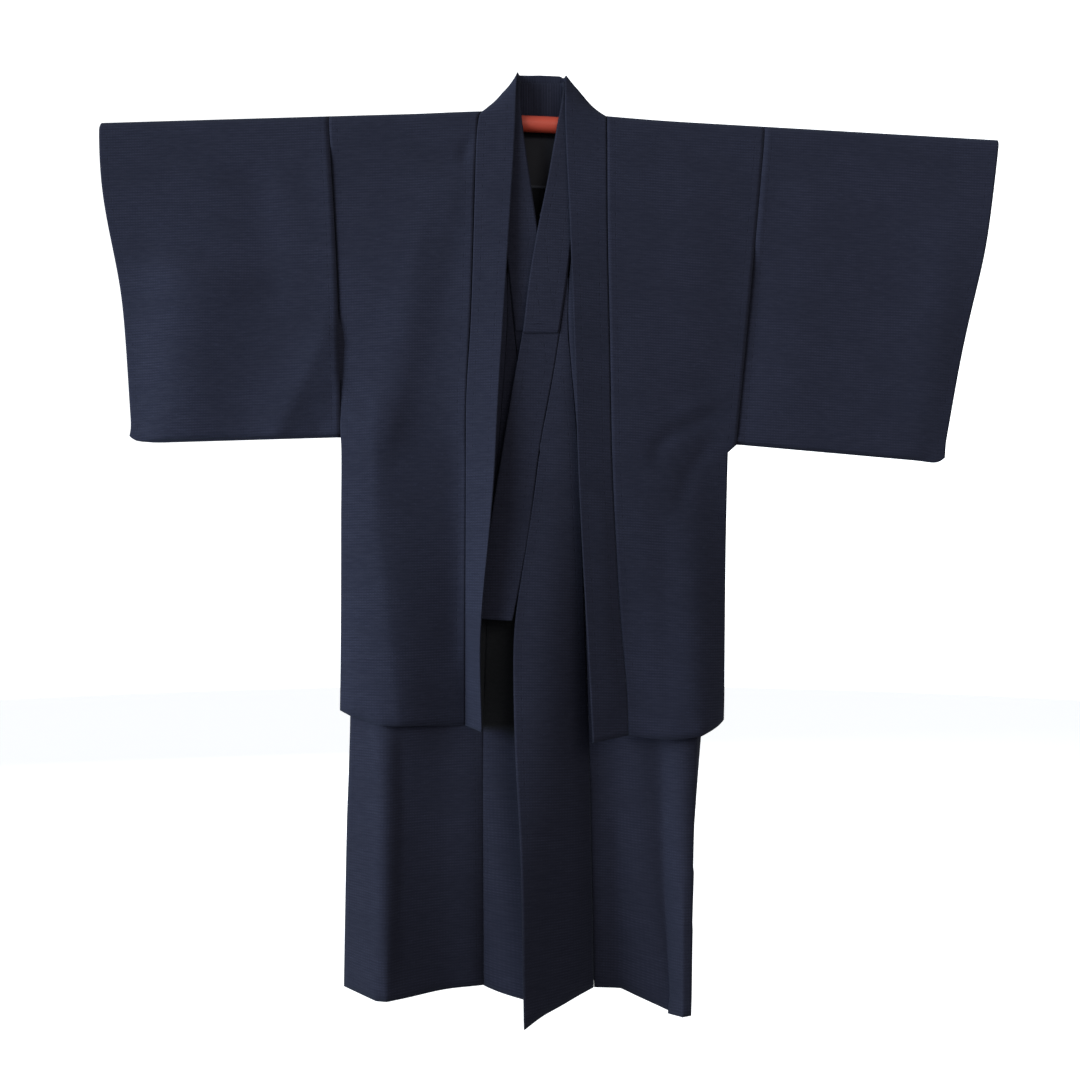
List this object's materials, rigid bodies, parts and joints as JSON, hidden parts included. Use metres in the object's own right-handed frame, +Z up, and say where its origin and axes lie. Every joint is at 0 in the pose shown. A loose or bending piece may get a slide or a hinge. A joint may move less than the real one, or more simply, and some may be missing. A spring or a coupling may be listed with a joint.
{
  "type": "kimono and haori set",
  "caption": "A navy haori jacket worn open over a matching kimono, hung by the sleeves on a lacquered rod, with open neck, cuffs and hems.",
  "frame": {"origin": "the middle of the rod's axis, where the set is held up", "axes": "+X to the viewer's right, the front faces -Y, +Z up"},
  "size_m": [1.3854, 0.1597, 1.438],
  "materials": {
    "haori_cloth": "matte, fine horizontal slub weave",
    "kimono_cloth": "matte, fine horizontal slub weave",
    "lining_cloth": "smooth, matte",
    "rod_lacquer": "satin lacquer"
  },
  "bodies": {
    "root": {"hanger_rod": "rod_lacquer", "haori_body_left": "haori_cloth", "haori_sleeve_left": "haori_cloth", "haori_gusset_left": "haori_cloth", "kimono_body_left": "kimono_cloth", "kimono_sleeve_left": "kimono_cloth", "kimono_overlap_left": "kimono_cloth", "haori_body_right": "haori_cloth", "haori_sleeve_right": "haori_cloth", "haori_gusset_right": "haori_cloth", "kimono_body_right": "kimono_cloth", "kimono_sleeve_right": "kimono_cloth", "kimono_overlap_right": "kimono_cloth", "haori_collar": "haori_cloth", "kimono_collar": "kimono_cloth", "kimono_over_collar": "kimono_cloth", "kimono_shoulder_lining": "lining_cloth"}
  },
  "joints": []
}
